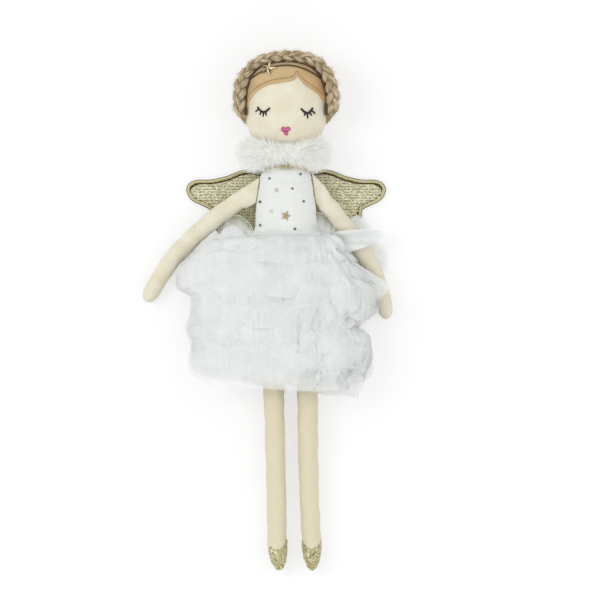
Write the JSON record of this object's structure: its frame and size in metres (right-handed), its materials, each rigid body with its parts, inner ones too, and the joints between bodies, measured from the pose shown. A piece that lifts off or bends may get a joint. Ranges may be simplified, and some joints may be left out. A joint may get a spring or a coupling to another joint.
{
  "type": "cloth angel doll",
  "caption": "Stuffed cloth angel doll with felt hair, plaited crown, fur collar, padded glitter wings and a tiered tulle skirt; arms, legs, wings and head swing on sewn seams.",
  "frame": {"origin": "middle of the back of the padded wing middle, on the surface that the doll lies on", "axes": "+X to the doll's own left, +Y towards its head, +Z out of its chest"},
  "size_m": [0.2436, 0.5039, 0.0698],
  "materials": {
    "muslin": "plain cotton muslin",
    "cotton": "plain white cotton",
    "fibre": "loose polyester fibre",
    "felt": "pressed felt",
    "yarn": "plaited yarn",
    "gold_cord": "metallic thread",
    "star": "gold coated",
    "thread": "embroidery floss",
    "lip_thread": "embroidery floss",
    "fur": "long white pile",
    "glitter": "gold and silver glitter knit",
    "piping": "gold metallic piping",
    "net": "soft white net",
    "wadding": "polyester wadding"
  },
  "bodies": {
    "torso": {"bodice_front": "cotton", "bodice_back": "cotton", "body_stuffing": "fibre", "fur_collar": "fur", "neck_cord": "gold_cord", "neck_bow": "gold_cord", "shoulder_seam_left": "cotton", "shoulder_seam_right": "cotton", "hip_seam": "cotton", "wing_middle": "glitter", "waistband": "cotton", "skirt_lining": "cotton", "tulle_tier_1": "net", "tulle_tier_2": "net", "tulle_tier_3": "net", "skirt_back_gathers": "net"},
    "head": {"head_front": "muslin", "head_back": "muslin", "head_stuffing": "fibre", "hair_front": "felt", "hair_back": "felt", "plait_strand_1": "yarn", "plait_strand_2": "yarn", "plait_strand_3": "yarn", "headband_cord": "gold_cord", "headband_star": "star", "eye_left": "thread", "eye_right": "thread", "lips": "lip_thread"},
    "arm_left": {"arm_left_front": "muslin", "arm_left_back": "muslin", "arm_left_stuffing": "fibre"},
    "leg_left": {"leg_left_front": "muslin", "leg_left_back": "muslin", "leg_left_stuffing": "fibre", "shoe_left": "glitter"},
    "wing_left": {"wing_left_front": "glitter", "wing_left_back": "glitter", "wing_left_padding": "wadding", "wing_left_piping": "piping"},
    "arm_right": {"arm_right_front": "muslin", "arm_right_back": "muslin", "arm_right_stuffing": "fibre"},
    "leg_right": {"leg_right_front": "muslin", "leg_right_back": "muslin", "leg_right_stuffing": "fibre", "shoe_right": "glitter"},
    "wing_right": {"wing_right_front": "glitter", "wing_right_back": "glitter", "wing_right_padding": "wadding", "wing_right_piping": "piping"}
  },
  "joints": [
    {"name": "neck_nod", "type": "hinge", "parent": "torso", "child": "head", "pos_m": [0, 0.05, 0.0276], "axis": [1, 0, 0], "range_deg": [-15, 25], "deforming": ["fur_collar"]},
    {"name": "shoulder_left", "type": "hinge", "parent": "torso", "child": "arm_left", "pos_m": [0.02878, 0.00837, 0.0276], "axis": [0.1442, -0.9896, 0], "range_deg": [0, 100], "deforming": ["tulle_tier_1", "tulle_tier_2"]},
    {"name": "shoulder_right", "type": "hinge", "parent": "torso", "child": "arm_right", "pos_m": [-0.02878, 0.00837, 0.0276], "axis": [0.1442, 0.9896, 0], "range_deg": [0, 100], "deforming": ["tulle_tier_1", "tulle_tier_2"]},
    {"name": "hip_left", "type": "hinge", "parent": "torso", "child": "leg_left", "pos_m": [0, -0.0903, 0.0276], "axis": [-1, 0, 0], "range_deg": [-60, 100], "deforming": ["skirt_lining", "tulle_tier_1", "tulle_tier_2", "tulle_tier_3"]},
    {"name": "hip_right", "type": "hinge", "parent": "torso", "child": "leg_right", "pos_m": [0, -0.0903, 0.0276], "axis": [-1, 0, 0], "range_deg": [-60, 100], "deforming": ["skirt_lining", "tulle_tier_1", "tulle_tier_2", "tulle_tier_3"]},
    {"name": "wing_left", "type": "hinge", "parent": "torso", "child": "wing_left", "pos_m": [0.0123, 0, 0.0012], "axis": [0, 1, 0], "range_deg": [0, 80]},
    {"name": "wing_right", "type": "hinge", "parent": "torso", "child": "wing_right", "pos_m": [-0.0123, 0, 0.0012], "axis": [0, -1, 0], "range_deg": [0, 80]}
  ]
}
